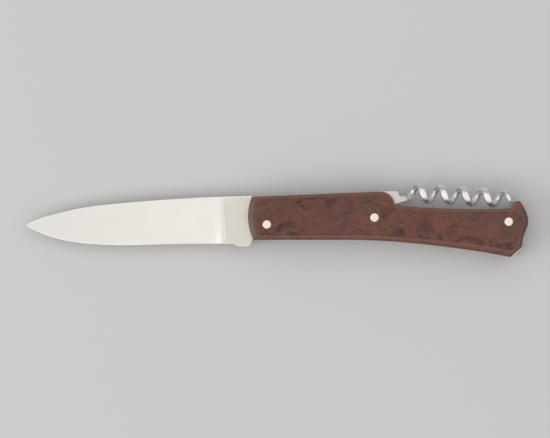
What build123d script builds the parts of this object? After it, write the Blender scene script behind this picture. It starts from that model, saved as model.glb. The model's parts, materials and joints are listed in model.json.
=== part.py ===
from build123d import *
import os
from math import asin, atan, cos, degrees, hypot, radians, sin, sqrt

os.makedirs("parts", exist_ok=True)

# A folding pocket knife with a corkscrew folded along its back, open, lying on its side.
# Two mechanisms lie side by side between the scales: the blade with its back spring below,
# the corkscrew with its own spring above, with a thin plate between them.
# Every outline is drawn from the blade pivot: X runs towards the butt, Y towards the back.
# Millimetres.

# Handle, side view
pin_span = 105.0  # blade pivot to rear pin
rear_pin_rise = 1.2  # rear pin above the blade pivot
screw_station = 46.7  # blade pivot to corkscrew pivot, along the handle
screw_rise = 3.0  # corkscrew pivot above the blade pivot
nose_reach = 8.2  # crown of the rounded front, ahead of the blade pivot
nose_sagitta = 1.8  # how far that crown stands ahead of its own ends
butt_reach = 8.4  # butt's furthest point behind the rear pin
nose_rise = 12.35  # back of the handle at the front
comb_rise = 14.3  # back of the handle just before the corkscrew step
step_radius = 6.4  # quarter round that ends the high back
saddle_rise = 6.7  # lowered back under the worm, at its lowest
horn_rise = 10.2  # small horn behind the worm's point
step_back = 2.5  # top of that quarter round behind the corkscrew pivot
saddle_step = 1.6  # saddle's front end above its lowest place
saddle_lift = 0.2  # and its rear end
horn_back = 2.4  # top of the horn behind the rear pin, on its front
horn_lean = 0.8  # horn's front leans back by this much
horn_bevel = 0.3  # and its top rises by this much to the butt
belly_drop = 6.7  # straight front part of the belly
belly_run = 35.0  # that part's length behind the blade pivot
flare_station = 33.6  # point that shapes the belly's flare, ahead of the rear pin
flare_drop = 2.3  # how far the belly has dropped there
toe_drop = 14.7  # belly's lowest corner, at the butt
toe_back = 1.2  # that corner behind the rear pin
toe_chamfer = 4.41  # height of the slanted cut behind that corner
butt_bulge = 2.7  # how far the butt's crown stands out behind its lower end
butt_sway = 0.8  # how far the butt's two shoulders lean back and forth of that end
crown_rise = 0.6  # butt's crown above the blade pivot
shoulder_drop = 5.0  # butt's lower shoulder below it
nose_crown = 3.2  # nose's crown above the blade pivot
nose_rake = 0.6  # nose's lower end behind its upper one
comb_bow = 0.75  # how far the front back bows up from the nose's top
brow_gap = 0.3  # steel left standing above the wood at the nose
toe_gap = 0.25  # steel left standing below the wood at the toe

# Stack, through the thickness
scale_thickness = 3.6
liner_thickness = 0.8
centre_liner_thickness = 0.6
blade_thickness = 2.4
tang_thickness = 2.4
washer_thickness = 0.15
washer_play = 0.05  # running gap between a washer and the piece that turns on it
scale_round = 1.3  # rounding of a scale's outer edge
root_round = 1.8  # softened corners: foot of the step, foot of the horn, rear of the toe

# Pins and rivets
pin_radius = 1.85
rivet_radius = 1.2
rivet_head_radius = 1.9
pivot_play = 0.05  # radial running clearance on the two pivots
washer_margin = 0.4  # washer's rim inside the flats of the tang it carries

# Blade
blade_reach = pin_span - 0.1  # pivot to tip, so that the shut tip hides before the rear pin
tip_cover = 1.7  # how deep the shut tip lies inside the toe
ricasso = 18.2  # pivot to the plunge line of the grind
edge_half = 0.15  # half thickness left behind the edge
blade_flat = 5.8  # pivot to the two flats that the spring rests on
blade_cam = 6.5  # radius of the tang between its flats
shoulder = 6.6  # blade's rear shoulder, ahead of the pivot
spring_gap = 0.06  # between a spring and the flat it rests on
stop_gap = 0.1  # at each hard stop
kick_gap = 0.6  # between the shut blade's heel and the spring

# Corkscrew
worm_fall = 2.7  # how much lower the folded worm's axis is at its point
worm_start = (16.56, 10.73)  # worm's axis where it begins, from the corkscrew pivot
worm_end_back = 1.3  # worm's point behind the rear pin
worm_turns = 4.606
taper_turns = 0.8  # last part of the worm, drawn out to a point
root_radius = 3.2  # middle of the wire to the worm's axis, at the root
point_radius = 2.75  # and at the point
wire_radius = 1.35
point_wire_radius = 0.12
taper_step = 0.03  # the tapering end is this much thinner than the wire that it grows out of
taper_seat = 0.99  # share of the even part where the tapering part begins
screw_flat = 4.0  # pivot to the two flats that its spring rests on
screw_cam = 4.6
crest = 11.7  # pivot to the tang's long top edge, which is its stop
crest_start = 1.6  # where that edge starts, behind the pivot
crest_length = 10.3  # and where it ends
neck_low = 6.4  # underside of the neck where the worm leaves it, before it curves up
neck_end = 14.3  # flat part of the neck ends here
neck_height = 3.4

# Springs
spring_depth = 3.9  # leaf, measured down from the back
head_margin = 2.4  # blade spring's head reaches past the flat it rests on
leaf_taper = 0.5  # how much the leaf has thinned before the corkscrew's pivot
leaf_swell = 1.5  # and thickened again behind it
rivet_wall = 1.6  # steel left below the spring rivet
screw_head = 5.2  # corkscrew spring's head reaches this far ahead of its pivot
rivet_station = 21.0  # hidden spring rivet, ahead of the rear pin
rivet_rise = 3.1
spacer_rivet = (24.0, 9.0)
spacer_foot = 9.0  # front spacer's lower part reaches this far behind the blade pivot

# Worked out from those
blade_layer = blade_thickness + 2 * (washer_thickness + washer_play)
screw_layer = tang_thickness + 2 * (washer_thickness + washer_play)
z_lower_liner = scale_thickness
z_blade_layer = z_lower_liner + liner_thickness
z_centre_liner = z_blade_layer + blade_layer
z_screw_layer = z_centre_liner + centre_liner_thickness
z_upper_liner = z_screw_layer + screw_layer
z_upper_scale = z_upper_liner + liner_thickness
handle_thickness = z_upper_scale + scale_thickness
z_blade = z_blade_layer + washer_thickness + washer_play
z_tang = z_screw_layer + washer_thickness + washer_play
z_worm = z_tang + tang_thickness / 2

blade_swing = 180 - degrees(asin((toe_drop - tip_cover) / blade_reach))
worm_run = pin_span + worm_end_back - screw_station - worm_start[0]
worm_tilt = degrees(atan(worm_fall / worm_run))
worm_length = worm_run / cos(radians(worm_tilt))
pitch = worm_length / worm_turns
screw_swing = 90 + worm_tilt
worm_slope = (root_radius - point_radius) / worm_length
worm_crest = screw_rise + worm_start[1] + root_radius + wire_radius
worm_crest -= pitch / 4 * (sin(radians(worm_tilt)) + worm_slope)
pivot_x = (blade_reach - pin_span - butt_reach) / 2
pivot_y = (toe_drop - worm_crest) / 2

blade_pivot = (0, 0)
screw_pivot = (screw_station, screw_rise)
rear_pin = (pin_span, rear_pin_rise)
spring_rivet = (pin_span - rivet_station, rivet_rise)
butt_end = pin_span + butt_reach - butt_bulge
flare_x = pin_span - flare_station
step = screw_station + step_back
far_away = 30


def side_plane(z, centre=blade_pivot):
    return Plane(origin=(pivot_x + centre[0], pivot_y + centre[1], z))


def turned(point, angle):
    return Vector(*point).rotate(Axis.Z, angle)


def handle_outline(z, brow=0.0, toe=0.0):
    # Side view of the handle; brow and toe lower its front back corner and raise its toe.
    nose_end = nose_reach - nose_sagitta
    horn = pin_span + horn_back
    nose_top = (-nose_end, nose_rise - brow)
    with BuildSketch(side_plane(z)) as outline:
        with BuildLine():
            nose = ThreePointArc(
                nose_top, (-nose_reach, nose_crown), (nose_rake - nose_end, -belly_drop)
            )
            belly = Line(nose @ 1, (belly_run, -belly_drop))
            flare = Spline(
                belly @ 1,
                (flare_x, -belly_drop - flare_drop),
                (pin_span + toe_back, toe - toe_drop),
                tangents=[(1, 0), (1, -0.2)],
            )
            slant = Line(flare @ 1, (butt_end, toe_chamfer - toe_drop))
            butt = Spline(
                slant @ 1,
                (butt_end + butt_sway, -shoulder_drop),
                (pin_span + butt_reach, crown_rise),
                (butt_end - butt_sway, horn_rise),
                tangents=[(0.15, 1), (-0.6, 1)],
            )
            cap = Line(butt @ 1, (horn, horn_rise - horn_bevel))
            rise = Line(cap @ 1, (horn - horn_lean, saddle_rise + saddle_lift))
            saddle = ThreePointArc(
                rise @ 1,
                ((horn + step + step_radius) / 2, saddle_rise),
                (step + step_radius, saddle_rise + saddle_step),
            )
            quarter = ThreePointArc(
                saddle @ 1,
                (step + step_radius * sqrt(0.5), comb_rise - step_radius * (1 - sqrt(0.5))),
                (step, comb_rise),
            )
            ThreePointArc(quarter @ 1, (step * 0.43, nose_rise + comb_bow), nose_top)
        make_face()
        for corner in (saddle @ 0, saddle @ 1, butt @ 0):
            fillet(outline.vertices().sort_by_distance(corner)[0], root_round)
    return outline.sketch


def round_holes(z, radius, centres):
    with BuildSketch(side_plane(z)) as holes:
        with Locations(*centres):
            Circle(radius)
    return holes.sketch


def write(part, name):
    part.label = name
    export_step(part, f"parts/{name}.step")


# Wooden scales
visible_pins = [blade_pivot, screw_pivot, rear_pin]
for name, z, outer in [("lower_scale", 0, 0), ("upper_scale", z_upper_scale, -1)]:
    with BuildPart() as scale:
        extrude(handle_outline(z, brow_gap, toe_gap), amount=scale_thickness)
        fillet(scale.faces().sort_by(Axis.Z)[outer].edges(), scale_round)
        extrude(round_holes(z, pin_radius, visible_pins), amount=scale_thickness, mode=Mode.SUBTRACT)
    write(scale.part, name)

# Steel liners, and the thin plate between the two mechanisms
plates = [
    ("lower_liner", z_lower_liner, liner_thickness, rivet_head_radius, [spring_rivet]),
    ("centre_liner", z_centre_liner, centre_liner_thickness, rivet_radius, [spring_rivet, spacer_rivet]),
    ("upper_liner", z_upper_liner, liner_thickness, rivet_head_radius, [spring_rivet, spacer_rivet]),
]
for name, z, thickness, hole_radius, rivets in plates:
    with BuildPart() as liner:
        extrude(handle_outline(z), amount=thickness)
        extrude(round_holes(z, pin_radius, visible_pins), amount=thickness, mode=Mode.SUBTRACT)
        extrude(round_holes(z, hole_radius, rivets), amount=thickness, mode=Mode.SUBTRACT)
    write(liner.part, name)

# Blade. The back spring lies on one flat of its tang when it is open and on the other when shut.
blade_flat_half = sqrt(blade_cam**2 - blade_flat**2)
shut_flat_end = turned((-blade_flat_half, blade_flat), -blade_swing)
heel_top = turned((shoulder, blade_flat), -blade_swing)
heel_low = (-11.4, -9.65)
edge_end = (-ricasso - 0.5, -8.45)
edge_lowest = -9.04
tip = (-blade_reach, -0.3)


def along_blade(share, y):
    return (-share * blade_reach, y)


with BuildPart() as blade:
    with BuildSketch(side_plane(z_blade)):
        with BuildLine():
            spine = Spline(
                (-shoulder, nose_rise),
                along_blade(0.36, 11.2),
                along_blade(0.583, 9.4),
                along_blade(0.758, 7.3),
                along_blade(0.882, 4.4),
                tip,
                tangents=[(-1, -0.02), (-0.86, -0.5)],
            )
            edge = Spline(
                tip,
                along_blade(0.931, -4.1),
                along_blade(0.832, -7.1),
                along_blade(0.733, -8.5),
                along_blade(0.608, edge_lowest),
                along_blade(0.36, -8.5),
                edge_end,
                tangents=[(0.8, -0.6), (1, 0)],
            )
            choil = Line(edge_end, (-14.8, -8.5))
            heel = ThreePointArc(choil @ 1, heel_low, (-7.2, -8.9))
            Line(heel @ 1, heel_top)
            Line(heel_top, shut_flat_end)
            cam = ThreePointArc(shut_flat_end, (blade_cam, 0), (blade_flat_half, blade_flat))
            Line(cam @ 1, (-shoulder, blade_flat))
            Line((-shoulder, blade_flat), (-shoulder, nose_rise))
        make_face()
    extrude(amount=blade_thickness)
    # The flat grind runs from the spine to the edge on both faces, and stops at the ricasso.
    half = blade_thickness / 2
    grind_start = Plane(
        origin=(pivot_x - ricasso, pivot_y, z_blade + half), x_dir=(0, 1, 0), z_dir=(-1, 0, 0)
    )
    with BuildSketch(grind_start):
        with BuildLine():
            Polyline(
                (nose_rise, half),
                (edge_lowest, edge_half),
                (edge_lowest - 3, edge_half),
                (edge_lowest - 3, half + 1),
                (nose_rise, half + 1),
                close=True,
            )
        make_face()
        mirror(about=Plane.XZ)
    extrude(amount=blade_reach, mode=Mode.SUBTRACT)
    bore = round_holes(z_blade, pin_radius + pivot_play, [blade_pivot])
    extrude(bore, amount=blade_thickness, mode=Mode.SUBTRACT)
write(blade.part, "blade")

# Blade's back spring: a leaf along the back, fixed at the butt, with a head over the tang
kick = turned(heel_low, blade_swing)
shut_tip = turned(tip, blade_swing)
leaf_low = kick.Y + kick_gap
with BuildPart() as blade_spring:
    extrude(handle_outline(z_blade_layer), amount=blade_layer)
    with BuildSketch(side_plane(z_blade_layer)):
        with BuildLine():
            head = Polyline(
                (-far_away, -far_away),
                (-far_away, far_away),
                (stop_gap - shoulder, far_away),
                (stop_gap - shoulder, blade_flat + spring_gap),
                (blade_flat_half + head_margin, blade_flat + spring_gap),
                (blade_flat_half + 4, leaf_low),
                (screw_station - 7, comb_rise - spring_depth - leaf_taper),
            )
            under = Spline(
                head @ 1,
                (screw_station + 11, saddle_rise - spring_depth + leaf_swell),
                (flare_x, saddle_rise - spring_depth),
                (spring_rivet[0], rivet_rise - rivet_radius - rivet_wall),
                (pin_span - 9, -3.8),
                (shut_tip.X - 1.6, shut_tip.Y + 4.1),
                tangents=[(1, 0.02), (0.55, -1)],
            )
            Polyline(
                under @ 1,
                (shut_tip.X + 2.6, shut_tip.Y + 2.4),
                (pin_span + far_away, shut_tip.Y + 2.4),
                (pin_span + far_away, -far_away),
                (-far_away, -far_away),
            )
        make_face()
    extrude(amount=blade_layer, mode=Mode.SUBTRACT)
    extrude(round_holes(z_blade_layer, pin_radius, [rear_pin]), amount=blade_layer, mode=Mode.SUBTRACT)
    rivet_hole = round_holes(z_blade_layer, rivet_radius, [spring_rivet])
    extrude(rivet_hole, amount=blade_layer, mode=Mode.SUBTRACT)
write(blade_spring.part, "blade_spring")

# Corkscrew: a flat tang whose long top edge is its stop, a neck and a tapering worm
screw_flat_half = sqrt(screw_cam**2 - screw_flat**2)
open_flat = [turned((x, -screw_flat), -screw_swing) for x in (-screw_flat_half, screw_flat_half)]
corner = screw_cam * sqrt(0.5)
neck_root = (12.0, neck_low + neck_height / 2 - 0.1)
even_length = worm_length - pitch * taper_turns
worm_cone = degrees(atan(worm_slope))
worm_plane = Plane(
    origin=(pivot_x + screw_station + worm_start[0], pivot_y + screw_rise + worm_start[1], z_worm),
    x_dir=(0, 0, -1),
    z_dir=(cos(radians(worm_tilt)), -sin(radians(worm_tilt)), 0),
)

with BuildLine() as even_path:
    even_helix = Helix(pitch, even_length, root_radius, cone_angle=-worm_cone)
# The tapering end starts inside the even one, a hair thinner, so that the two join cleanly.
taper_from = even_helix @ taper_seat
with BuildLine() as taper_path:
    taper_helix = Helix(
        pitch, worm_length - taper_from.Z, hypot(taper_from.X, taper_from.Y), cone_angle=-worm_cone
    )
with BuildPart() as even_worm:
    with BuildSketch(Plane(origin=even_helix @ 0, z_dir=even_helix % 0)):
        Circle(wire_radius)
    sweep(path=even_path.line, is_frenet=True)
with BuildPart() as taper_worm:
    for end, radius in [(0, wire_radius - taper_step), (1, point_wire_radius)]:
        with BuildSketch(Plane(origin=taper_helix @ end, z_dir=taper_helix % end)):
            Circle(radius)
    sweep(path=taper_path.line, multisection=True, is_frenet=True)
taper_turn = 360 * (worm_turns - taper_turns) * taper_seat
taper_place = worm_plane.location * Location((0, 0, taper_from.Z), (0, 0, taper_turn))
worm_root = worm_plane.from_local_coords(even_helix @ 0)
worm_way = worm_plane.from_local_coords(even_helix @ 0 + even_helix % 0) - worm_root

with BuildPart() as corkscrew:
    with BuildSketch(side_plane(z_tang, screw_pivot)):
        with BuildLine():
            tang = Polyline(
                (crest_length, crest),
                (crest_start, crest),
                (-2.6, crest - 2.2),
                open_flat[0],
                open_flat[1],
            )
            foot = ThreePointArc(tang @ 1, (-corner, -corner), (-screw_flat_half, -screw_flat))
            ThreePointArc((screw_flat_half, -screw_flat), (corner, -corner), (screw_cam, 0))
            Line(foot @ 1, (screw_flat_half, -screw_flat))
            under_neck = Spline(
                (screw_cam, 0), (8.6, 5.2), (neck_end, neck_low + 0.9), tangents=[(0.1, 1), (1, 0.35)]
            )
            Polyline(
                under_neck @ 1,
                (neck_end, neck_low + neck_height - 0.5),
                (crest_length + 1.0, neck_low + neck_height - 0.3),
                (crest_length + 0.5, neck_low + neck_height + 0.2),
                (crest_length, crest),
            )
        make_face()
    extrude(amount=tang_thickness)
    with BuildLine() as neck_path:
        neck = Spline(
            side_plane(z_worm, screw_pivot).from_local_coords((*neck_root, 0)),
            worm_root,
            tangents=[(1, 0.05, 0), worm_way],
        )
    with BuildSketch(Plane(origin=neck @ 0, z_dir=neck % 0)):
        Circle(wire_radius)
    sweep(path=neck_path.line)
    with Locations(worm_plane):
        add(even_worm.part)
    with Locations(taper_place):
        add(taper_worm.part)
    bore = round_holes(z_tang, pin_radius + pivot_play, [screw_pivot])
    extrude(bore, amount=tang_thickness, mode=Mode.SUBTRACT)
write(corkscrew.part, "corkscrew")

# Corkscrew's spring: its head lies under the tang, and it fills the saddle and the butt behind
with BuildPart() as corkscrew_spring:
    extrude(handle_outline(z_screw_layer), amount=screw_layer)
    head_y = screw_rise - screw_flat - spring_gap
    with BuildSketch(side_plane(z_screw_layer)):
        with BuildLine():
            front = Polyline(
                (-far_away, -far_away),
                (-far_away, far_away),
                (screw_station + 17, far_away),
                (screw_station + 17, saddle_rise + 3),
            )
            over = Spline(
                front @ 1,
                (screw_station + 11, screw_rise + 1),
                (screw_station + 5.5, head_y),
                tangents=[(-0.3, -1), (-1, 0)],
            )
            Polyline(
                over @ 1,
                (screw_station - screw_head, head_y),
                (screw_station - screw_head, head_y - spring_depth + 1),
                (screw_station - screw_head + 1, head_y - spring_depth),
                (screw_station + 6, head_y - spring_depth),
            )
            under = Spline(
                (screw_station + 6, head_y - spring_depth),
                (screw_station + 13.5, screw_rise - 2.2),
                (flare_x, saddle_rise - spring_depth - 0.6),
                (spring_rivet[0], rivet_rise - rivet_radius - rivet_wall),
                (pin_span - 9, -4.5),
                (pin_span - 1, -toe_drop - 1),
                tangents=[(1, 0), (0.4, -1)],
            )
            Polyline(under @ 1, (pin_span - 1, -far_away), (-far_away, -far_away))
        make_face()
    extrude(amount=screw_layer, mode=Mode.SUBTRACT)
    extrude(round_holes(z_screw_layer, pin_radius, [rear_pin]), amount=screw_layer, mode=Mode.SUBTRACT)
    rivet_hole = round_holes(z_screw_layer, rivet_radius, [spring_rivet])
    extrude(rivet_hole, amount=screw_layer, mode=Mode.SUBTRACT)
write(corkscrew_spring.part, "corkscrew_spring")

# Front spacer: fills the corkscrew's side ahead of it, and stops it when it is open
stop_low, stop_high = [
    Vector(*screw_pivot) + turned((x, crest + stop_gap), screw_swing) for x in (2.5, 16)
]
with BuildPart() as front_spacer:
    extrude(handle_outline(z_screw_layer), amount=screw_layer)
    with BuildSketch(side_plane(z_screw_layer)):
        with BuildLine():
            past_butt = pin_span + far_away
            outside = Polyline(
                stop_high,
                (past_butt, stop_high.Y),
                (past_butt, -far_away),
                (spacer_foot, -far_away),
                (spacer_foot, -3),
            )
            inside = Spline(
                outside @ 1,
                (spacer_foot + 4.5, 3.6),
                (spacer_foot + 11, stop_low.Y),
                tangents=[(0, 1), (1, 0)],
            )
            Polyline(inside @ 1, stop_low, stop_high)
        make_face()
    extrude(amount=screw_layer, mode=Mode.SUBTRACT)
    extrude(round_holes(z_screw_layer, pin_radius, [blade_pivot]), amount=screw_layer, mode=Mode.SUBTRACT)
    rivet_hole = round_holes(z_screw_layer, rivet_radius, [spacer_rivet])
    extrude(rivet_hole, amount=screw_layer, mode=Mode.SUBTRACT)
write(front_spacer.part, "front_spacer")

# Pins, each ending flush with the scales
pins = [
    ("blade_pivot_pin", blade_pivot, 0, handle_thickness),
    ("corkscrew_pivot_pin", screw_pivot, z_centre_liner, handle_thickness),
    ("lower_middle_pin", screw_pivot, 0, z_blade_layer),
    ("rear_pin", rear_pin, 0, handle_thickness),
]
for name, centre, z_start, z_end in pins:
    with BuildPart() as pin:
        extrude(round_holes(z_start, pin_radius, [centre]), amount=z_end - z_start)
    write(pin.part, name)

# Rivets hidden under the scales, headed in the liners
top_head = (z_upper_liner, liner_thickness)
rivets = [
    ("spring_rivet", spring_rivet, z_lower_liner, [(z_lower_liner, liner_thickness), top_head]),
    ("spacer_rivet", spacer_rivet, z_centre_liner, [top_head]),
]
for name, centre, z_start, heads in rivets:
    with BuildPart() as rivet:
        extrude(round_holes(z_start, rivet_radius, [centre]), amount=z_upper_scale - z_start)
        for z_head, thickness in heads:
            extrude(round_holes(z_head, rivet_head_radius, [centre]), amount=thickness)
    write(rivet.part, name)

# Bronze washers on both sides of each turning piece
washers = [
    ("blade_washer_lower", blade_pivot, z_blade_layer, blade_flat),
    ("blade_washer_upper", blade_pivot, z_centre_liner - washer_thickness, blade_flat),
    ("corkscrew_washer_lower", screw_pivot, z_screw_layer, screw_flat),
    ("corkscrew_washer_upper", screw_pivot, z_upper_liner - washer_thickness, screw_flat),
]
for name, centre, z, flat in washers:
    with BuildPart() as washer:
        extrude(round_holes(z, flat - washer_margin, [centre]), amount=washer_thickness)
        bore = round_holes(z, pin_radius + pivot_play, [centre])
        extrude(bore, amount=washer_thickness, mode=Mode.SUBTRACT)
    write(washer.part, name)

print("blade swing", blade_swing, "corkscrew swing", screw_swing, "degrees")
print("pivots", pivot_x, pivot_y, "thickness", handle_thickness)
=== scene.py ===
import json
import math

import bmesh
import bpy
import numpy as np
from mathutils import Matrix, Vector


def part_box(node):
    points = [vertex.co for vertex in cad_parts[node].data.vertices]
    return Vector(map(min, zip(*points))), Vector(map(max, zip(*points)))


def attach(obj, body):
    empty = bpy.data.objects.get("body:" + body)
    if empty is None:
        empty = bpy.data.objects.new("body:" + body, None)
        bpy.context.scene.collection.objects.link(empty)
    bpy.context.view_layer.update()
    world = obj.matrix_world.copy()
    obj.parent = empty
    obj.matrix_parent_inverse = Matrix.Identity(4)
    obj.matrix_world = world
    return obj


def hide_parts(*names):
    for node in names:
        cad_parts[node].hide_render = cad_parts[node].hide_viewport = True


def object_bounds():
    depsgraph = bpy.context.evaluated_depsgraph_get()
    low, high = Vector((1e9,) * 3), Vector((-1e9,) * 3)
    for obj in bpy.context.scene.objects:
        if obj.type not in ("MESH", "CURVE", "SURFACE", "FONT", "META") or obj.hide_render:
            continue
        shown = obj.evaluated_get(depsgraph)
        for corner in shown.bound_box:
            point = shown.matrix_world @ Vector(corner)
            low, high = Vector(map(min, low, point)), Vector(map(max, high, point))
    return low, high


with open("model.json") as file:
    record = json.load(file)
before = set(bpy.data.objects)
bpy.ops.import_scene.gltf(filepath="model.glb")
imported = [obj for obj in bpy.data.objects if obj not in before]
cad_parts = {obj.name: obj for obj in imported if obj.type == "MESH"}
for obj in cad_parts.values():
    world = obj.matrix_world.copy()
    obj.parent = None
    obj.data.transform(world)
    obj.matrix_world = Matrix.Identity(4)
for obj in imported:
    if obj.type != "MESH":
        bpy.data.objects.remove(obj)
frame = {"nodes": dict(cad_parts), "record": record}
cadBounds = [list(corner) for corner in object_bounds()]
mm = 0.001


# Outlines are drawn in millimetres from the blade's pivot, and the corkscrew's from its own.

def middle(node):
    # A pin's axis in the side view.
    low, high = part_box(node)
    return np.array([(low.x + high.x) / 2, (low.y + high.y) / 2])


def fullTurn(name):
    # How far a joint turns, in radians.
    limits = {joint["name"]: joint["range_deg"] for joint in frame["record"]["behaviour"]["joints"]}
    return math.radians(limits[name][1])


bladePivot = middle("blade_pivot_pin")
screwPivot = middle("corkscrew_pivot_pin")
rearPin = middle("rear_pin")
pinSpan = (rearPin[0] - bladePivot[0]) / mm
screwStation = (screwPivot[0] - bladePivot[0]) / mm
pinRadius = (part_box("rear_pin")[1].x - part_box("rear_pin")[0].x) / 2 / mm
plunge = (-23.6, -18.2)  # where the blade's grind runs out


# Lines are arrays with a point in each row.

def line(start, end, count=2):
    # start + (end - start) t
    t = np.linspace(0, 1, count)[:, None]
    return np.array(start, float) * (1 - t) + np.array(end, float) * t


def arc(start, through, end, count=24):
    # Circle through three points: its centre, then centre + radius (cos a, sin a) with a swept evenly.
    a, b, c = (complex(*point) for point in (start, through, end))
    ratio = (c - a) / (b - a)
    centre = a + (b - a) * (ratio - abs(ratio) ** 2) / (2j * ratio.imag)
    half = np.angle((b - centre) / (a - centre))
    sweep = np.angle((c - centre) / (a - centre))
    sweep += 2 * np.pi * np.sign(half) * (sweep * half < 0)
    on = centre + (a - centre) * np.exp(1j * sweep * np.linspace(0, 1, count))
    return np.stack([on.real, on.imag], axis=1)


def curve(points, startWay, endWay, count=60):
    # Smooth line through the points: on each span a cubic in the distance between them, whose slopes
    # at the points are solved so that its bending runs on across them.
    points = np.array(points, float)
    span = np.linalg.norm(np.diff(points, axis=0), axis=1)
    chord = np.diff(points, axis=0) / span[:, None]
    inner = np.arange(1, len(points) - 1)
    system, wanted = np.eye(len(points)), np.zeros_like(points)
    system[inner, inner - 1] = span[1:]
    system[inner, inner] = 2 * (span[1:] + span[:-1])
    system[inner, inner + 1] = span[:-1]
    wanted[inner] = 3 * (span[1:, None] * chord[:-1] + span[:-1, None] * chord[1:])
    wanted[0] = np.array(startWay) / np.linalg.norm(startWay)
    wanted[-1] = np.array(endWay) / np.linalg.norm(endWay)
    slope = np.linalg.solve(system, wanted)
    knots = np.concatenate([[0], np.cumsum(span)])
    t = np.linspace(0, knots[-1], count)
    k = np.clip(np.searchsorted(knots, t, "right") - 1, 0, len(span) - 1)
    s, h = ((t - knots[k]) / span[k])[:, None], span[k][:, None]
    return (
        points[k] * (1 + 2 * s) * (1 - s) ** 2
        + points[k + 1] * s**2 * (3 - 2 * s)
        + slope[k] * h * s * (1 - s) ** 2
        - slope[k + 1] * h * s**2 * (1 - s)
    )


def smooth(value, low, high):
    # 3 t^2 - 2 t^3 between two limits
    t = np.clip((value - low) / (high - low), 0, 1)
    return t * t * (3 - 2 * t)


def joined(*chains):
    # Each chain starts where the one before it ends.
    return np.concatenate([chains[0]] + [chain[1:] for chain in chains[1:]])


def lengths(chain):
    # The length along a chain at each of its points.
    return np.concatenate([[0], np.cumsum(np.linalg.norm(np.diff(chain, axis=0), axis=1))])


def spread(chain, count, skip=0, leave=0):
    # Evenly spaced points along a chain, from a length after its start to a length before its end.
    run = lengths(chain)
    stations = np.linspace(skip, run[-1] - leave, count)
    return np.stack([np.interp(stations, run, axis) for axis in chain.T], axis=1)


def rounded(first, second, radius):
    # Two lines that meet at a corner, joined by (1-t)^2 a + 2 t (1-t) corner + t^2 b. Their points are
    # first set three times as close, so that the cut falls near one.
    finer = 3
    corner = first[-1]
    ways = [first[-1] - first[-2], second[1] - second[0]]
    ways = [way / np.linalg.norm(way) for way in ways]
    cut = radius * math.tan(math.acos(np.clip(ways[0] @ ways[1], -1, 1)) / 2)
    first = spread(first, len(first) * finer, leave=cut)
    second = spread(second, len(second) * finer, skip=cut)
    t = np.linspace(0, 1, 12)[:, None]
    bend = (1 - t) ** 2 * first[-1] + 2 * t * (1 - t) * corner + t**2 * second[0]
    return joined(first, bend, second)


def nearest(points, targets, measure=1.0):
    # Distance to the closest target, each counted in that target's own measure.
    apart = np.sqrt(((points[:, None] - targets[None]) ** 2).sum(axis=2))
    return (apart / measure).min(axis=1)


def inset(loop, depth):
    # Each point moves inwards by its own depth, square to the chord between its neighbours. One that comes
    # too near another side takes the place of the closest one along the loop that doesn't.
    enough = 0.985
    depth = np.broadcast_to(np.asarray(depth, float), len(loop))
    way = np.roll(loop, -1, axis=0) - np.roll(loop, 1, axis=0)
    way /= np.linalg.norm(way, axis=1)[:, None]
    moved = loop + depth[:, None] * np.stack([-way[:, 1], way[:, 0]], axis=1)
    clear = np.flatnonzero(nearest(moved, loop, depth) > enough)
    apart = np.abs(np.arange(len(loop))[:, None] - clear[None])
    apart = np.minimum(apart, len(loop) - apart)
    return moved[clear[apart.argmin(axis=1)]]


def at(points, height, origin=bladePivot):
    # Millimetres in the side view, with a height in millimetres, to metres in the frame.
    height = np.broadcast_to(np.asarray(height, float), points.shape[:-1])
    return np.concatenate([points * mm + origin, height[..., None] * mm], axis=-1)


# Surfaces are grids of points, joined by quads.

def quads(rows, columns, start, wrap=False):
    # Corners of a grid's quads, counted along its rows.
    i, j = np.meshgrid(np.arange(rows - 1), np.arange(columns if wrap else columns - 1), indexing="ij")
    k = (j + 1) % columns
    corners = [i * columns + j, i * columns + k, (i + 1) * columns + k, (i + 1) * columns + j]
    return start + np.stack(corners, axis=-1).reshape(-1, 4)


def solid(name, grids, sharp, caps=(), marks=(), capSlot=0, ridge=None):
    # Grids of points become one mesh. A grid is (points, wrap, flip); a cap is a closed ring; marks gives
    # each grid's faces their material slots; ridge gives each point its distance from the ridge, which the
    # material reads. Points that coincide are welded, so seams and poles close.
    points, faces, slots, start = [], [], [], 0
    for index, (grid, wrap, flip) in enumerate(grids):
        rows, columns = grid.shape[:2]
        made = quads(rows, columns, start, wrap)
        faces.append(made[:, ::-1] if flip else made)
        slots.append(marks[index].ravel() if len(marks) else np.zeros(len(made), int))
        points.append(grid.reshape(-1, 3))
        start += rows * columns
    ringFaces = []
    for ring, flip in caps:
        order = np.arange(start, start + len(ring))
        ringFaces.append((order[::-1] if flip else order).tolist())
        points.append(ring)
        start += len(ring)
    mesh = bpy.data.meshes.new(name)
    mesh.from_pydata(np.concatenate(points).tolist(), [], np.concatenate(faces).tolist() + ringFaces)
    slots = np.concatenate(slots + [np.full(len(ringFaces), capSlot)])
    mesh.polygons.foreach_set("material_index", slots)
    if ridge is not None:
        mesh.attributes.new("ridge", "FLOAT", "POINT").data.foreach_set("value", ridge)
    shape = bmesh.new()
    shape.from_mesh(mesh)
    bmesh.ops.remove_doubles(shape, verts=shape.verts, dist=1e-6)
    bmesh.ops.dissolve_degenerate(shape, edges=shape.edges, dist=1e-7)
    bmesh.ops.recalc_face_normals(shape, faces=shape.faces)
    shape.to_mesh(mesh)
    shape.free()
    mesh.shade_smooth()
    mesh.set_sharp_from_angle(angle=math.radians(sharp))
    piece = bpy.data.objects.new(name, mesh)
    bpy.context.scene.collection.objects.link(piece)
    return piece


# Materials

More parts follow.
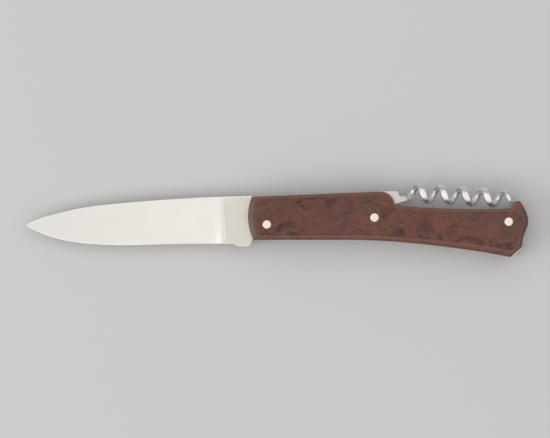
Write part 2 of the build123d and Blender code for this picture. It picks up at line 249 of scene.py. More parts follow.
class Link:
    # An output socket. Sums and products of links and numbers add Math nodes.
    def __init__(self, paint, socket):
        self.paint, self.socket = paint, socket

    def calculate(self, operation, first, second):
        return self.paint.node("ShaderNodeMath", {"operation": operation}, {0: first, 1: second})

    def __add__(self, other):
        return self.calculate("ADD", self, other)

    def __radd__(self, other):
        return self.calculate("ADD", other, self)

    def __sub__(self, other):
        return self.calculate("SUBTRACT", self, other)

    def __rsub__(self, other):
        return self.calculate("SUBTRACT", other, self)

    def __mul__(self, other):
        return self.calculate("MULTIPLY", self, other)

    def __rmul__(self, other):
        return self.calculate("MULTIPLY", other, self)


class Paint:
    # A material. node() adds any node: its type, its settings, then its sockets' values or links.
    def __init__(self, name, **constants):
        self.material = bpy.data.materials.new(name)
        self.material.use_nodes = True
        self.tree = self.material.node_tree
        self.shader = self.tree.nodes["Principled BSDF"]
        self.place = self.node("ShaderNodeTexCoord", {}, {}, "Object")
        for socket, value in constants.items():
            self.shader.inputs[socket.replace("_", " ")].default_value = value

    def node(self, kind, settings, sockets, output=0):
        made = self.tree.nodes.new(kind)
        for name, value in settings.items():
            if name == "stops":
                self.setStops(made.color_ramp, value)
            else:
                setattr(made, name, value)
        for name, value in sockets.items():
            self.feed(made.inputs[name], value)
        return Link(self, made.outputs[output])

    def setStops(self, ramp, stops):
        while len(ramp.elements) < len(stops):
            ramp.elements.new(1)
        for element, (position, colour) in zip(ramp.elements, stops):
            element.position = position
            element.color = (*colour, 1)

    def feed(self, socket, value):
        if isinstance(value, Link):
            self.tree.links.new(value.socket, socket)
        elif isinstance(value, tuple) and len(value) == 3 and socket.type == "RGBA":
            socket.default_value = (*value, 1)
        else:
            socket.default_value = value

    def put(self, name, value):
        self.feed(self.shader.inputs[name], value)

    def scaled(self, scale, place=None, move=(0, 0, 0)):
        sockets = {"Vector": place or self.place, "Scale": scale, "Location": move}
        return self.node("ShaderNodeMapping", {}, sockets)

    def noise(self, place, scale, detail=3, roughness=0.5, distortion=0.0, output="Fac"):
        sockets = {"Vector": place, "Scale": scale, "Detail": detail, "Roughness": roughness}
        sockets["Distortion"] = distortion
        return self.node("ShaderNodeTexNoise", {}, sockets, output)

    def cells(self, place, scale):
        return self.node("ShaderNodeTexVoronoi", {}, {"Vector": place, "Scale": scale}, "Distance")

    def axis(self, name):
        return self.node("ShaderNodeSeparateXYZ", {}, {0: self.place}, name)

    def between(self, value, low, high, toLow=0.0, toHigh=1.0):
        # value from low..high to toLow..toHigh, eased at both ends
        sockets = {0: value, 1: low, 2: high, 3: toLow, 4: toHigh}
        return self.node("ShaderNodeMapRange", {"interpolation_type": "SMOOTHSTEP"}, sockets)

    def mixed(self, factor, first, second, blend="MIX"):
        settings = {"data_type": "RGBA", "blend_type": blend}
        return self.node("ShaderNodeMix", settings, {0: factor, 6: first, 7: second}, 2)

    def bump(self, height, distance, strength):
        sockets = {"Height": height, "Distance": distance, "Strength": strength}
        self.put("Normal", self.node("ShaderNodeBump", {}, sockets))


def dress(piece, *paints):
    # Clearing sets every face back to the first slot, so it is only for a mesh that came with materials.
    if piece.data.materials:
        piece.data.materials.clear()
    for paint in paints:
        piece.data.materials.append(paint.material)


# Finishes

burl = {
    "deep": (0.018, 0.006, 0.005),
    "brown": (0.086, 0.029, 0.019),
    "red": (0.175, 0.053, 0.030),
    "tan": (0.215, 0.092, 0.050),
    "olive": (0.100, 0.051, 0.026),
    "plum": (0.088, 0.029, 0.027),
    "ember": (0.245, 0.078, 0.028),
    "slopeSheen": (0.195, 0.084, 0.062),  # painted highlight on the slopes round the rim
    "dust": (0.140, 0.094, 0.066),  # dust on the nose
    "shade": (0.070, 0.024, 0.024),  # painted shade on the butt's slope
    "mottle": 105,  # per metre, as are all the scales
    "eye": 420,
    "fibre": 1700,
    "warp": 0.02,  # metres that the slower noise moves the pattern
    "noseWorn": (2.2, 6.0),  # millimetres ahead of the blade's pin
    "buttShade": (4.6, 6.2),  # and behind the rear one
}


def burlPaint(name, shift):
    # Mottles warped by a slower noise, clouds of olive, plum and ember, short streaks, small eyes and
    # fibres. The slopes round the rim get a painted highlight, the ridge above them a painted shade line in
    # places, and the butt's slope a painted shade.
    paint = Paint(name, Coat_Weight=0.22, Coat_Roughness=0.14, Specular_IOR_Level=0.32)
    base = paint.scaled((1, 1, 1), move=shift)
    slow = paint.noise(base, 42, detail=2, output="Color")
    warp = paint.node("ShaderNodeVectorMath", {"operation": "SCALE"}, {0: slow, "Scale": burl["warp"]})
    bent = paint.node("ShaderNodeVectorMath", {"operation": "ADD"}, {0: base, 1: warp})
    long = paint.scaled((0.62, 1.3, 1.0), place=bent)
    mottle = paint.noise(long, burl["mottle"], detail=6, roughness=0.66, distortion=0.9)
    stops = [
        (0.32, burl["deep"]),
        (0.42, burl["brown"]),
        (0.50, burl["red"]),
        (0.56, burl["brown"]),
        (0.64, burl["red"]),
        (0.74, burl["tan"]),
    ]
    colour = paint.node("ShaderNodeValToRGB", {"stops": stops}, {0: mottle})

    def cloud(colour, tint, move, scale, low, high, most, stretch=(0.7, 1.2, 1)):
        made = paint.noise(paint.scaled(stretch, place=bent, move=move), scale, detail=4, roughness=0.6)
        return paint.mixed(paint.between(made, low, high, 0, most), colour, tint)

    colour = cloud(colour, burl["olive"], (0.2, 0, 0), 62, 0.52, 0.66, 0.8)
    colour = cloud(colour, burl["plum"], (0, 0.3, 0), 70, 0.54, 0.68, 0.8)
    colour = cloud(colour, burl["ember"], (0.5, 0.1, 0), 90, 0.60, 0.74, 0.7)
    colour = cloud(colour, burl["tan"], (0.3, 0.1, 0), 190, 0.60, 0.74, 0.6, stretch=(0.35, 1.5, 1))
    colour = cloud(colour, burl["deep"], (0.9, 0.4, 0), 230, 0.60, 0.72, 0.65, stretch=(0.3, 1.6, 1))
    eyes = paint.cells(bent, burl["eye"])
    where = paint.between(paint.noise(bent, 120, detail=1), 0.5, 0.62)
    colour = paint.mixed(paint.between(eyes, 0.16, 0.3, 1, 0) * where * 0.6, colour, burl["deep"])
    fibre = paint.noise(paint.scaled((0.14, 1, 1), place=bent), burl["fibre"], detail=3)
    colour = paint.mixed(paint.between(fibre, 0.5, 0.8, 0, 0.35), colour, burl["tan"])
    colour = paint.mixed(paint.between(fibre, 0.5, 0.25, 0, 0.3), colour, burl["deep"])
    ridge = paint.node("ShaderNodeAttribute", {"attribute_name": "ridge"}, {}, "Fac")
    along = paint.axis("X")
    colour = paint.mixed(paint.between(along, bladePivot[0], rearPin[0], 0, 0.14), colour, burl["tan"])
    # Painted highlight on the slopes round the rim, broken up by the grain.
    sheenMask = paint.between(ridge, 0, 0.3) * paint.between(ridge, 2.1, 0.7, 0.35, 1)
    slopeSheen = sheenMask * paint.between(fibre * 0.5 + mottle * 0.5, 0.25, 0.6, 0.45, 1)
    colour = paint.mixed(slopeSheen, colour, burl["slopeSheen"])
    noseFrom, noseTo = (bladePivot[0] - ahead * mm for ahead in burl["noseWorn"])
    nose = paint.between(along + (mottle - 0.5) * 0.012, noseFrom, noseTo)
    colour = paint.mixed(nose * 0.7, colour, burl["dust"])
    # Painted shade: a dark line along the ridge where the slope meets the face, in places, not on the nose.
    ridgeShadeLine = paint.between(ridge, -0.55, -0.1) * paint.between(ridge, 0.2, 0) * paint.between(slow, 0.4, 0.6)
    colour = paint.mixed(ridgeShadeLine * (1 - nose) * 0.45, colour, burl["deep"])
    # Painted shade on the butt's slope, which faces away from the light.
    buttFrom, buttTo = (rearPin[0] + behind * mm for behind in burl["buttShade"])
    butt = paint.between(along, buttFrom, buttTo) * paint.between(ridge, 0.3, 0.8)
    colour = paint.mixed(butt * 0.55, colour, burl["shade"])
    paint.put("Base Color", colour)
    paint.put("Roughness", paint.between(mottle, 0.3, 0.75, 0.46, 0.34) + fibre * 0.06)
    paint.bump(mottle * 0.4 + fibre * 0.6, 0.00004, 0.35)
    return paint


metal = {
    "slow": 70,  # scale of the wide changes
    "broad": 0.12,  # scale of the broad lines, as a share of the fine ones'
    "darker": 2.2,  # for each part of tint
    "shinier": 3.5,
    "duller": 4,
    "depth": 0.000004,  # of the lines, in metres
}
# The smaller a number, the longer the lines are on that axis.
alongWay, acrossWay, noWay = (0.03, 0.35, 0.35), (0.35, 0.03, 0.35), (0.3, 0.3, 0.3)


def steelPaint(name, colour, rough, grain, grainScale, depth=metal["depth"], tint=0.06, fades=()):
    # Fine lines drawn out one way, over slow changes. tint is how uneven the colour and the shine are;
    # fades are (from x, to x, colour), in metres.
    paint = Paint(name, Metallic=1.0)
    lines = paint.noise(paint.scaled(grain), grainScale, detail=4, roughness=0.65)
    broad = paint.noise(paint.scaled(grain), grainScale * metal["broad"], detail=2)
    slow = paint.noise(paint.place, metal["slow"], detail=3)
    for low, high, later in fades:
        colour = paint.mixed(paint.between(paint.axis("X"), low, high), colour, later)
    shade = paint.between(slow * 0.6 + lines * 0.4, 0.35, 0.65, 1 - tint * metal["darker"], 1)
    paint.put("Base Color", paint.mixed(1.0, colour, shade, blend="MULTIPLY"))
    shine = lines * 0.55 + broad * 0.2 + slow * 0.25
    least, most = rough * (1 - tint * metal["shinier"]), rough * (1 + tint * metal["duller"])
    paint.put("Roughness", paint.between(shine, 0.3, 0.7, least, most))
    paint.bump(lines * 0.8 + broad * 0.2, depth, 0.6)
    return paint


plungeFoot = bladePivot[0] + plunge[1] * mm
bladeFades = [
    (plungeFoot - 85 * mm, plungeFoot - 12 * mm, (0.87, 0.845, 0.78)),
    (plungeFoot - 2.4 * mm, plungeFoot + 0.2 * mm, (0.75, 0.715, 0.635)),
]
bladeLook = {"depth": 0.0000008, "tint": 0.015, "fades": bladeFades}
bladeSteel = steelPaint("bladeSteel", (0.80, 0.78, 0.725), 0.3, acrossWay, 9000, **bladeLook)
ricassoSteel = steelPaint("ricassoSteel", (0.77, 0.735, 0.655), 0.33, alongWay, 9000, tint=0.05)
edgeSteel = steelPaint("edgeSteel", (0.90, 0.885, 0.85), 0.24, acrossWay, 9000)
screwSteel = steelPaint("screwSteel", (0.96, 0.955, 0.94), 0.36, noWay, 2500, tint=0.07)
tangSteel = steelPaint("tangSteel", (0.70, 0.635, 0.595), 0.34, (0.03, 0.3, 0.3), 8000, tint=0.05)
springSteel = steelPaint("springSteel", (0.56, 0.55, 0.53), 0.3, (0.03, 0.5, 0.5), 7000)
linerSteel = steelPaint("linerSteel", (0.60, 0.59, 0.57), 0.34, (0.03, 0.5, 0.5), 7000)
nickelSilver = steelPaint("nickelSilver", (0.93, 0.83, 0.71), 0.34, noWay, 5000, tint=0.04)
bronze = steelPaint("bronze", (0.62, 0.42, 0.22), 0.32, noWay, 5000)
upperBurl = burlPaint("upperBurl", (0.013, 0.021, 0.0))
lowerBurl = burlPaint("lowerBurl", (0.31, 0.17, 0.11))
print("materials done")


# Scales

handleShape = {
    "noseLow": (-5.8, -6.7),
    "noseBow": (-8.2, 3.2),
    "noseHigh": (-6.4, 12.35),
    "bellyFlat": (35, -6.7),  # the belly is straight as far as this
    "bellySag": (71.4, -9.0),
    "toe": (1.2, -14.7),  # from the rear pin
    "slantTop": -10.29,
    "butt": 5.7,  # the end, from the rear pin
    "bulge": [(6.5, -5.0), (8.4, 0.6), (4.9, 10.2)],
    "horn": (2.4, 9.9),
    "hornFoot": (1.6, 6.9),
    "saddle": 6.7,
    "step": (2.5, 14.3),  # from the corkscrew's pin
    "stepRadius": 6.4,
    "stepBow": (0.71, 12.38),  # the first is a share of the radius
    "stepFoot": 8.3,
    "comb": (0.43, 13.1),  # and here of the step's place
    "corner": 1.8,
}
scaleShape = {
    "brow": 0.3,  # steel left showing above the wood at the nose
    "slantGap": 0.45,  # and at the slanted cut behind the toe
    "toe": 0.4,
    "slopes": {"nose": 2.1, "belly": 2.2, "toe": 3.1, "butt": 2.1, "back": 1.4},  # widths round the rim
    "steepness": 0.34,
    "edgeDrop": 0.55,  # rounding at the foot of the slope
    "edgePower": 9,
    "faceDrop": 0.1,
    "crown": 0.22,  # how much lower the face is at its rim
    "crownWidth": 2.6,
    "flareFrom": 30,  # the belly's slope widens from here to the toe
    "rings": [0, 0.015, 0.04, 0.08, 0.14, 0.22, 0.34, 0.5, 0.66, 0.8, 0.9, 0.96, 1],  # across the slope
    "along": 400,
    "across": 64,
}


def handleChains(brow, toe, slantGap):
    # The handle's side view, anticlockwise: belly, butt, back, nose.
    shape = handleShape
    noseLow, noseHigh = shape["noseLow"], (shape["noseHigh"][0], shape["noseHigh"][1] - brow)
    toeCorner = (pinSpan + shape["toe"][0] - slantGap, shape["toe"][1] + toe + slantGap * 0.2)
    slantEnd = (pinSpan + shape["butt"], shape["slantTop"] + slantGap)
    bulge = [(pinSpan + x, y) for x, y in shape["bulge"]]
    horn = (pinSpan + shape["horn"][0], shape["horn"][1])
    hornFoot = (pinSpan + shape["hornFoot"][0], shape["hornFoot"][1])
    step = (screwStation + shape["step"][0], shape["step"][1])
    stepFoot = (step[0] + shape["stepRadius"], shape["stepFoot"])
    stepBow = (step[0] + shape["stepRadius"] * shape["stepBow"][0], shape["stepBow"][1])
    combBow = (step[0] * shape["comb"][0], shape["comb"][1])
    belly = joined(
        line(noseLow, shape["bellyFlat"]),
        curve([shape["bellyFlat"], shape["bellySag"], toeCorner], (1, 0), (1, -0.2)),
    )
    rear = curve([slantEnd, *bulge], (0.15, 1), (-0.6, 1))
    rear = rounded(line(toeCorner, slantEnd, 8), rear, shape["corner"])
    back = joined(line(bulge[-1], horn, 4), line(horn, hornFoot, 6))
    saddle = arc(hornFoot, ((horn[0] + stepFoot[0]) / 2, shape["saddle"]), stepFoot)
    back = rounded(back, saddle, shape["corner"])
    back = rounded(back, arc(stepFoot, stepBow, step), shape["corner"])
    comb = arc(step, combBow, noseHigh)
    return belly, rear, joined(back, comb), arc(noseHigh, shape["noseBow"], noseLow)


def matched(lower, upper):
    # The lower chain's points, at the same share of its width as the upper chain's, which runs back.
    share = (upper[::-1, 0] - upper[-1, 0]) / (upper[0, 0] - upper[-1, 0])
    x = lower[0, 0] + share * (lower[-1, 0] - lower[0, 0])
    return np.stack([x, np.interp(x, lower[:, 0], lower[:, 1])], axis=1)


def filled(loop, along, across):
    # The inside of a closed loop with four sides: the blend of the two long sides, plus how far each
    # short side stands from the straight line between its ends, times the share of the way towards it.
    ends = np.cumsum([0, along - 1, across - 1, along - 1])
    low = loop[ends[0] : ends[1] + 1][:, None]
    right = loop[ends[1] : ends[2] + 1][None]
    high = loop[ends[2] : ends[3] + 1][::-1][:, None]
    left = np.concatenate([loop[ends[3] :], loop[:1]])[::-1][None]
    v = np.linspace(0, 1, across)[None, :, None]
    share = (low[..., :1] - low[0, 0, 0]) / (low[-1, 0, 0] - low[0, 0, 0])
    straight = [side[:, :1] * (1 - v) + side[:, -1:] * v for side in (left, right)]
    return low * (1 - v) + high * v + (1 - share) * (left - straight[0]) + share * (right - straight[1])


def makeScale(name, node, outward, paint):
    # The rim slopes: at w of the way across it, the drop is face + crown + steepness width (1-w) +
    # edge (1-w)^9. Inside it the drop is face + crown e^(-distance to the rim / crown width).
    shape = scaleShape
    low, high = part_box(node)
    outer, inner = (high.z, low.z) if outward > 0 else (low.z, high.z)
    belly, rear, back, nose = handleChains(shape["brow"], shape["toe"], shape["slantGap"])
    back = spread(back, shape["along"])
    rear, nose = (spread(chain, shape["across"]) for chain in (rear, nose))
    belly = matched(belly, back)
    loop = joined(belly, rear, back, nose)[:-1]
    widths = shape["slopes"]
    flare = smooth(belly[:, 0], shape["flareFrom"], pinSpan) * (widths["toe"] - widths["belly"])
    width = np.concatenate([
        flare + widths["belly"],
        np.full(len(rear) - 1, widths["butt"]),
        np.full(len(back) - 1, widths["back"]),
        np.full(len(nose) - 2, widths["nose"]),
    ])
    rim = inset(loop, width)
    w = np.array(shape["rings"])[:, None]
    drop = shape["faceDrop"] + shape["crown"] + shape["steepness"] * width[None] * (1 - w)
    drop = drop + shape["edgeDrop"] * (1 - w) ** shape["edgePower"]
    strip = loop[None] * (1 - w[..., None]) + rim[None] * w[..., None]
    strip = at(strip, outer / mm - outward * drop)
    face = filled(rim, shape["along"], shape["across"])
    away = nearest(face.reshape(-1, 2), rim[::4]).reshape(face.shape[:2])
    away[[0, -1]] = 0
    away[:, [0, -1]] = 0
    lift = shape["faceDrop"] + shape["crown"] * np.exp(-away / shape["crownWidth"])
    face = at(face, outer / mm - outward * lift)
    wall = np.stack([at(loop, inner / mm), strip[0]])
    ridge = [width[None] * (1 - w), -away, np.tile(width, 3)]
    piece = solid(
        name,
        [(strip, True, False), (face, False, False), (wall, True, False)],
        sharp=40,
        caps=[(at(loop, inner / mm), True)],
        ridge=np.concatenate([part.ravel() for part in ridge]),
    )
    dress(piece, paint)
    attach(piece, "handle")
    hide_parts(node)


makeScale("upperWoodScale", "upper_scale", 1, upperBurl)
makeScale("lowerWoodScale", "lower_scale", -1, lowerBurl)
print("scales done")


# Pins

pinShape = {"dome": 0.07, "rimRound": 0.12, "rimPower": 40, "around": 72}


def makePin(name, node, openEnds):
    # A profile turned about the pin's axis. An open end falls by dome r^2 + rim r^40, with r from 0 to 1.
    low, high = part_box(node)
    r = np.concatenate([np.linspace(0, 0.93, 9), [0.97, 0.99, 1.0]]) * pinRadius
    rim = pinShape["rimRound"] * (r / pinRadius) ** pinShape["rimPower"]
    fall = pinShape["dome"] * (r / pinRadius) ** 2 + rim
    bottom = low.z / mm + fall * openEnds[0]
    top = high.z / mm - fall * openEnds[1]
    radius, height = np.concatenate([r, r[::-1]]), np.concatenate([bottom, top[::-1]])
    angle = np.linspace(0, 2 * np.pi, pinShape["around"], endpoint=False)[None, :, None]
    ring = np.concatenate([np.cos(angle), np.sin(angle)], axis=2) * radius[:, None, None]
    piece = solid(name, [(at(ring, height[:, None], middle(node)), True, False)], sharp=50)
    dress(piece, nickelSilver)
    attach(piece, "handle")
    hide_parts(node)


makePin("domedBladePin", "blade_pivot_pin", (1, 1))
makePin("domedCorkscrewPin", "corkscrew_pivot_pin", (0, 1))
makePin("domedLowerPin", "lower_middle_pin", (1, 0))
makePin("domedRearPin", "rear_pin", (1, 1))
print("pins done")


# Blade

bladeShape = {
    "reach": 104.9,
    "shoulder": (-6.6, 12.35),
    "spine": [(0.36, 11.2), (0.583, 9.4), (0.758, 7.3), (0.882, 4.4)],  # shares of the reach, and heights
    "edge": [(0.931, -4.1), (0.832, -7.1), (0.733, -8.5), (0.608, -9.04), (0.36, -8.5)],
    "tipHeight": -0.3,
    "edgeEnd": (-18.7, -8.45),
    "heel": [(-14.8, -8.5), (-11.4, -9.65), (-7.2, -8.9)],
    "heelEnd": (-5.83, -6.57),
    "spineHalf": 1.2,
    "taper": 0.012,  # the side thins by this for each millimetre that the spine comes down
    "edgeHalf": 0.16,  # half thickness where the edge's own bevel starts
    "keen": 0.015,  # and at the edge
    "bevel": 0.5,  # width of that bevel
    "spineBevel": (0.5, 0.12),  # width and height
    "heelBevel": (0.3, 0.12),
    "thinFrom": 62.0,  # the blade thins towards its tip from here
    "thinPast": 6,  # to this far past it
    "thinBy": 0.72,
    "tip": 12,  # length with closer rows
    "point": 4.5,  # width below which the point thins further
    "slim": 3,  # width below which the bevels narrow
    "glint": 0.5,  # length of the bright line where the grind ends
    "glintHeight": 0.6,  # how far up the side it runs
    "rows": 26,
    "stations": (60, 100, 24, 60),  # along the tip, the blade, the plunge and the ricasso
}
tangShape = {
    "cam": 6.5,
    "flat": 5.8,
    "kick": 6.6,
    "front": -9,  # inside the ricasso
    "low": -6,
    "slack": 0.01,  # how much thinner it is, on each side
    "bevel": 0.1,
}


def bladeOutline():
    # Spine and edge, both from the tip to the shoulder.
    shape = bladeShape
    tip = (-shape["reach"], shape["tipHeight"])
    spine, edge = ([(-share * shape["reach"], y) for share, y in shape[side]] for side in ("spine", "edge"))
    spine = curve([shape["shoulder"], *spine, tip], (-1, -0.02), (-0.86, -0.5), 900)[::-1]
    edge = curve([tip, *edge, shape["edgeEnd"]], (0.8, -0.6), (1, 0), 900)
    choil = line(shape["edgeEnd"], shape["heel"][0])
    return spine, joined(edge, choil, arc(*shape["heel"], 40), line(shape["heel"][-1], shape["heelEnd"]))


def makeBlade():
    # Across the blade at each x: from the edge over its bevel, up the ground side, over the spine's bevel.
    # Half thickness on the side grows evenly from edge to spine, and is full behind the plunge.
    shape = bladeShape
    low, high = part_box("blade")
    mid = (low.z + high.z) / 2 / mm
    spine, edge = bladeOutline()
    start, tipEnd, stop = -shape["reach"], shape["tip"] - shape["reach"], shape["shoulder"][0]
    counts = shape["stations"]
    x = np.concatenate([
        start + shape["tip"] * np.linspace(0, 1, counts[0]) ** 2,
        np.linspace(tipEnd, plunge[0], counts[1])[1:],
        np.linspace(*plunge, counts[2])[1:],
        np.linspace(plunge[1], stop, counts[3])[1:],
    ])
    top, bottom = (np.interp(x, chain[:, 0], chain[:, 1]) for chain in (spine, edge))
    width = top - bottom
    ricasso = smooth(x, *plunge)
    thin = 1 - shape["thinBy"] * smooth(-x, shape["thinFrom"], shape["reach"] + shape["thinPast"])
    tipThin = np.clip(width / shape["point"], 0.03, 1) ** 0.5
    full = shape["spineHalf"]
    groundTop = (full - shape["taper"] * (shape["shoulder"][1] - top)) * thin * tipThin
    groundEdge = shape["edgeHalf"] * np.minimum(tipThin, thin)
    narrow = np.minimum(1, width / shape["slim"])

    def along(ground, flat):
        return ground * (1 - ricasso) + flat * ricasso

    bevel = along(shape["bevel"], shape["heelBevel"][0]) * narrow
    lip = along(shape["keen"], full - shape["heelBevel"][1])
    edgeHalf, spineHalf = along(groundEdge, full), along(groundTop, full)
    spineWidth, spineFall = (part * narrow for part in shape["spineBevel"])
    v = np.linspace(0, 1, shape["rows"])[None]
    side = bevel[:, None] * (1 - v) + (width - spineWidth)[:, None] * v
    rise = (side - bevel[:, None]) / (width - spineWidth - bevel + 1e-9)[:, None]
    half = edgeHalf[:, None] * (1 - rise) + spineHalf[:, None] * rise
    zero = np.zeros((len(x), 1))
    across = np.concatenate([zero, zero, side, width[:, None], width[:, None]], axis=1)
    brow = (spineHalf - np.minimum(spineFall, spineHalf * 0.4))[:, None]
    half = np.concatenate([zero, (lip * narrow)[:, None], half, brow, zero], axis=1)
    plan = np.stack([np.broadcast_to(x[:, None], across.shape), bottom[:, None] + across], axis=2)
    sides = [at(plan, mid + half), at(plan, mid - half)]
    ends = np.stack([sides[1][-1], sides[0][-1]])
    # Slot 2 is the bright bevels and the line where the grind ends; slot 1 is all that is behind it.
    band = np.arange(across.shape[1] - 1)[None]
    behind = (x[:-1] > plunge[1] - 0.1)[:, None]
    glint = (x[:-1] > plunge[1] - shape["glint"])[:, None] & (band > 0)
    glint = glint & (band < shape["rows"] * shape["glintHeight"]) & ~behind
    polished = (band == 1) | (band == across.shape[1] - 3) | glint
    slots = np.where(polished, 2, np.where(behind, 1, 0))
    tang, caps = bladeTang()
    tangSlots = np.ones(tang.shape[1] * (tang.shape[0] - 1), int)
    piece = solid(
        "bladeForged",
        [(sides[0], False, True), (sides[1], False, False), (ends, False, False), (tang, True, False)],
        sharp=9,
        caps=caps,
        marks=[slots, slots, np.ones(ends.shape[1] - 1, int), tangSlots],
    )
    dress(piece, bladeSteel, ricassoSteel, edgeSteel)
    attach(piece, "blade")
    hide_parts("blade")


def plate(loop, low, high, bevel, origin=bladePivot):
    # A flat plate with bevelled edges: rings of the loop, inset at both faces, and two caps.
    rim = inset(loop, bevel)
    rings = [(rim, low), (loop, low + bevel), (loop, high - bevel), (rim, high)]
    grid = np.stack([at(ring, height, origin) for ring, height in rings])
    return grid, [(grid[0], True), (grid[-1], False)]


def turned(point, angle):
    # Clockwise about the pivot.
    return np.array(point) @ np.array([
        [math.cos(angle), -math.sin(angle)],
        [math.sin(angle), math.cos(angle)],
    ])


def bladeTang():
    # The tang behind the shoulder, a hair thinner so that it lies inside the blade where they overlap. Its
    # flats are level when the blade is open and when it is shut.
    shape = tangShape
    low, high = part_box("blade")
    cam, flat, front = shape["cam"], shape["flat"], shape["front"]
    half = math.sqrt(cam**2 - flat**2)
    swing = fullTurn("blade_fold")
    shut, kick = turned((-half, flat), swing), turned((shape["kick"], flat), swing)
    shoulder = (bladeShape["shoulder"][0] - 0.02, flat)
    loop = joined(
        line((front, shape["low"]), kick, 10),
        line(kick, shut, 12),
        arc(shut, (cam, 0), (half, flat), 40),
        line((half, flat), shoulder, 16),
        line(shoulder, (front, flat), 4),
        line((front, flat), (front, shape["low"]), 16),
    )[:-1]
    return plate(loop, low.z / mm + shape["slack"], high.z / mm - shape["slack"], shape["bevel"])


makeBlade()
print("blade done")


# Corkscrew

screwShape = {
    "wire": 1.35,
    "point": 0.1,
    "start": (16.56, 10.73),  # of the axis
    "fall": 2.7,  # the axis comes down by this over its run
    "endBack": 1.3,  # the point, behind the rear pin
    "turns": 4.606,
    "taper": 0.55,  # turns over which it comes to the point
    "rootRadius": 3.2,
    "pointRadius": 2.75,
    "neck": [(11.2, 7.86, 0), (12.6, 8.03, 0), (14.6, 8.5, -1.2)],  # straight, then bent into the helix
    "neckHold": 1.6,  # length that keeps the block's section
    "neckHalf": (1.185, 1.27),  # half thickness and half height
    "neckPower": 7,  # how square the block is
    "neckEnd": 14.3,  # the plate's finish runs on to here
    "turned": 4.0,  # how much squarer than round the outer side is
    "turnedFrom": (-0.2, 0.4),
    "outer": 1.25,  # half thickness towards the outer side
    "steps": 96,  # sections in each turn
    "around": 56,
}
screwTangShape = {
    "flat": 4.0,
    "cam": 4.6,
    "underside": [(8.6, 5.2), (12.6, 6.75)],
    "edge": [(12.6, 9.3), (11.3, 9.45), (10.75, 10.1), (10.3, 11.7), (1.6, 11.7), (-2.6, 9.5)],
    "edgePoints": (4, 3, 5, 24, 12),
    "half": 1.2,
    "bevel": 0.22,
}


def wormLine():
    # Out of the neck and into a helix: axis start + along its lean + radius (sin, -cos) of the turn, which
    # starts at the far side. The radius shrinks evenly towards the point.
    shape = screwShape
    run = pinSpan + shape["endBack"] - screwStation - shape["start"][0]
    length, lean = math.hypot(run, shape["fall"]), math.atan2(shape["fall"], run)
    share = np.linspace(0, 1, int(shape["turns"] * shape["steps"]))[:, None]
    angle = 2 * np.pi * shape["turns"] * share
    way = np.array([math.cos(lean), -math.sin(lean), 0])
    up = np.array([math.sin(lean), math.cos(lean), 0])
    out = -np.array([0, 0, 1]) * np.cos(angle) + up * np.sin(angle)
    radius = shape["rootRadius"] + (shape["pointRadius"] - shape["rootRadius"]) * share
    axis = np.array([*shape["start"], 0]) + way * length * share
    helix = axis + radius * out
    root, bend, dip = shape["neck"]
    neck = joined(line(root, bend, 8), curve([bend, dip, helix[0]], (1, 0.12, 0), helix[1] - helix[0], 80))
    outNeck = np.broadcast_to([0, 0, -1.0], neck.shape)
    return joined(neck, helix), np.concatenate([outNeck, out[1:]]), len(neck)


def makeCorkscrew():
    # Sections |c|^p + |s|^p = 1 carried along the worm's line: p is a block's at the neck; on the worm it is
    # a circle's 2 on the inside and more on the outside, which is turned flat. The wire thins towards its
    # point as the root of what is left of it.
    shape, tang = screwShape, screwTangShape
    mid = (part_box("corkscrew_washer_lower")[1].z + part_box("corkscrew_washer_upper")[0].z) / 2 / mm
    path, out, neckCount = wormLine()
    way = np.gradient(path, axis=0)
    way /= np.linalg.norm(way, axis=1)[:, None]
    normal = out - (out * way).sum(axis=1)[:, None] * way
    normal /= np.linalg.norm(normal, axis=1)[:, None]
    side = np.cross(way, normal)
    run = lengths(path)
    block = 1 - smooth(run, shape["neckHold"], run[neckCount - 1])[:, None]
    worm = (np.arange(len(path)) - neckCount) / (len(path) - neckCount - 1)
    left = np.clip((1 - worm) * shape["turns"] / shape["taper"], 0, 1)[:, None]
    wire = shape["point"] + (shape["wire"] - shape["point"]) * left**0.5
    angle = np.linspace(0, 2 * np.pi, shape["around"], endpoint=False)[None]
    cos, sin = np.cos(angle), np.sin(angle)
    outwards = smooth(cos, *shape["turnedFrom"])
    power = (2 + shape["turned"] * outwards) * (1 - block) + shape["neckPower"] * block
    reach = (np.abs(cos) ** power + np.abs(sin) ** power) ** (-1 / power)
    flat = 1 + (shape["outer"] / shape["wire"] - 1) * outwards
    thick = wire * flat * (1 - block) + shape["neckHalf"][0] * block
    tall = wire * (1 - block) + shape["neckHalf"][1] * block
    tube = path[:, None] + (reach * cos * thick)[..., None] * normal[:, None]
    tube = tube + (reach * sin * tall)[..., None] * side[:, None]
    tip = path[-1:, None] + way[-1] * shape["point"]
    tube = np.concatenate([path[:1, None] + 0 * tube[:1], tube, tip + 0 * tube[:1]])
    tube = at(tube[..., :2], tube[..., 2] + mid, screwPivot)
    grid, caps = plate(tangLoop(), mid - tang["half"], mid + tang["half"], tang["bevel"], screwPivot)
    onNeck = np.append(path[:, 0], shape["start"][0]) < shape["neckEnd"]
    marks = [np.repeat(onNeck, shape["around"]).astype(int), np.ones(3 * grid.shape[1], int)]
    piece = solid("corkscrewForged", [(tube, True, False), (grid, True, False)], 38, caps, marks, capSlot=1)
    dress(piece, screwSteel, tangSteel)
    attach(piece, "corkscrew")
    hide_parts("corkscrew")


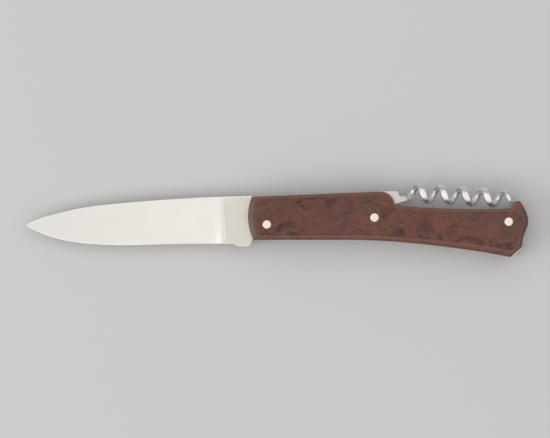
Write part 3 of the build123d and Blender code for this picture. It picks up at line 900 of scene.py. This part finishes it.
def tangLoop():
    # Anticlockwise from the foot: cam, underside of the neck, notch, top edge, front corner, open flat.
    shape = screwTangShape
    flat, cam, edge = shape["flat"], shape["cam"], shape["edge"]
    half, corner = math.sqrt(cam**2 - flat**2), cam * math.sqrt(0.5)
    swing = fullTurn("corkscrew_fold")
    openLow, openHigh = turned((half, -flat), swing), turned((-half, -flat), swing)
    under = curve([(cam, 0), *shape["underside"]], (0.1, 1), (1, 0.35), 30)
    return joined(
        arc(openLow, (-corner, -corner), (-half, -flat), 16),
        line((-half, -flat), (half, -flat), 12),
        arc((half, -flat), (corner, -corner), (cam, 0), 16),
        under,
        line(under[-1], edge[0], 8),
        *[line(start, end, count) for start, end, count in zip(edge, edge[1:], shape["edgePoints"])],
        line(edge[-1], openHigh, 16),
        line(openHigh, openLow, 10),
    )[:-1]


makeCorkscrew()
print("corkscrew done")


# Plain plates, springs and small parts keep their shapes and get a finish.
finishes = {
    "lower_liner": linerSteel, "centre_liner": linerSteel, "upper_liner": linerSteel,
    "front_spacer": linerSteel, "spring_rivet": linerSteel, "spacer_rivet": linerSteel,
    "blade_spring": springSteel, "corkscrew_spring": springSteel,
    "blade_washer_lower": bronze, "blade_washer_upper": bronze,
    "corkscrew_washer_lower": bronze, "corkscrew_washer_upper": bronze,
}
for nodeName, paint in finishes.items():
    dress(frame["nodes"][nodeName], paint)
print("inner parts done")


# Floor, light and camera

floorPaint = Paint("floorPaint", Roughness=0.75)
floorPaint.put("Base Color", (0.67, 0.665, 0.65))
floorMesh = bpy.data.meshes.new("floor")
floorSize, floorHeight = 3.0, cadBounds[0][2] - 0.0002  # just below the knife
corners = [(-1, -1), (1, -1), (1, 1), (-1, 1)]
floorMesh.from_pydata([(x * floorSize, y * floorSize, floorHeight) for x, y in corners], [], [(0, 1, 2, 3)])
floor = bpy.data.objects.new("floor", floorMesh)
bpy.context.scene.collection.objects.link(floor)
dress(floor, floorPaint)


def softbox(name, place, size, power, aim=(0, 0, 0)):
    lamp = bpy.data.lights.new(name, "AREA")
    lamp.shape, lamp.size, lamp.energy = "DISK", size, power
    holder = bpy.data.objects.new(name, lamp)
    bpy.context.scene.collection.objects.link(holder)
    holder.location = place
    towards = np.array(aim) - np.array(place)
    tilt = math.atan2(math.hypot(towards[0], towards[1]), -towards[2])
    holder.rotation_euler = (tilt, 0, math.atan2(-towards[0], towards[1]))
    holder.visible_camera = False


softbox("overhead", place=(0, 0.05, 1.3), size=3.6, power=20.5)
softbox("key", place=(-1.3, -0.4, 0.9), size=1.0, power=6.5)
world = bpy.data.worlds.new("studio")
bpy.context.scene.world = world
world.use_nodes = True
world.node_tree.nodes["Background"].inputs["Color"].default_value = (0.33, 0.33, 0.34, 1)

view = {"centre": (-0.0007, 0.00065), "width": 0.2391, "distance": 2.6, "height": 0.010}  # metres
camera = bpy.data.cameras.new("camera")
camera.sensor_width = 36
camera.lens = camera.sensor_width * view["distance"] / view["width"]
camera.clip_end = 20
eye = bpy.data.objects.new("camera", camera)
bpy.context.scene.collection.objects.link(eye)
eye.location = (*view["centre"], view["height"] + view["distance"])
bpy.context.scene.camera = eye
bpy.context.scene.view_settings.view_transform = "Standard"
print("floor, light and camera done")
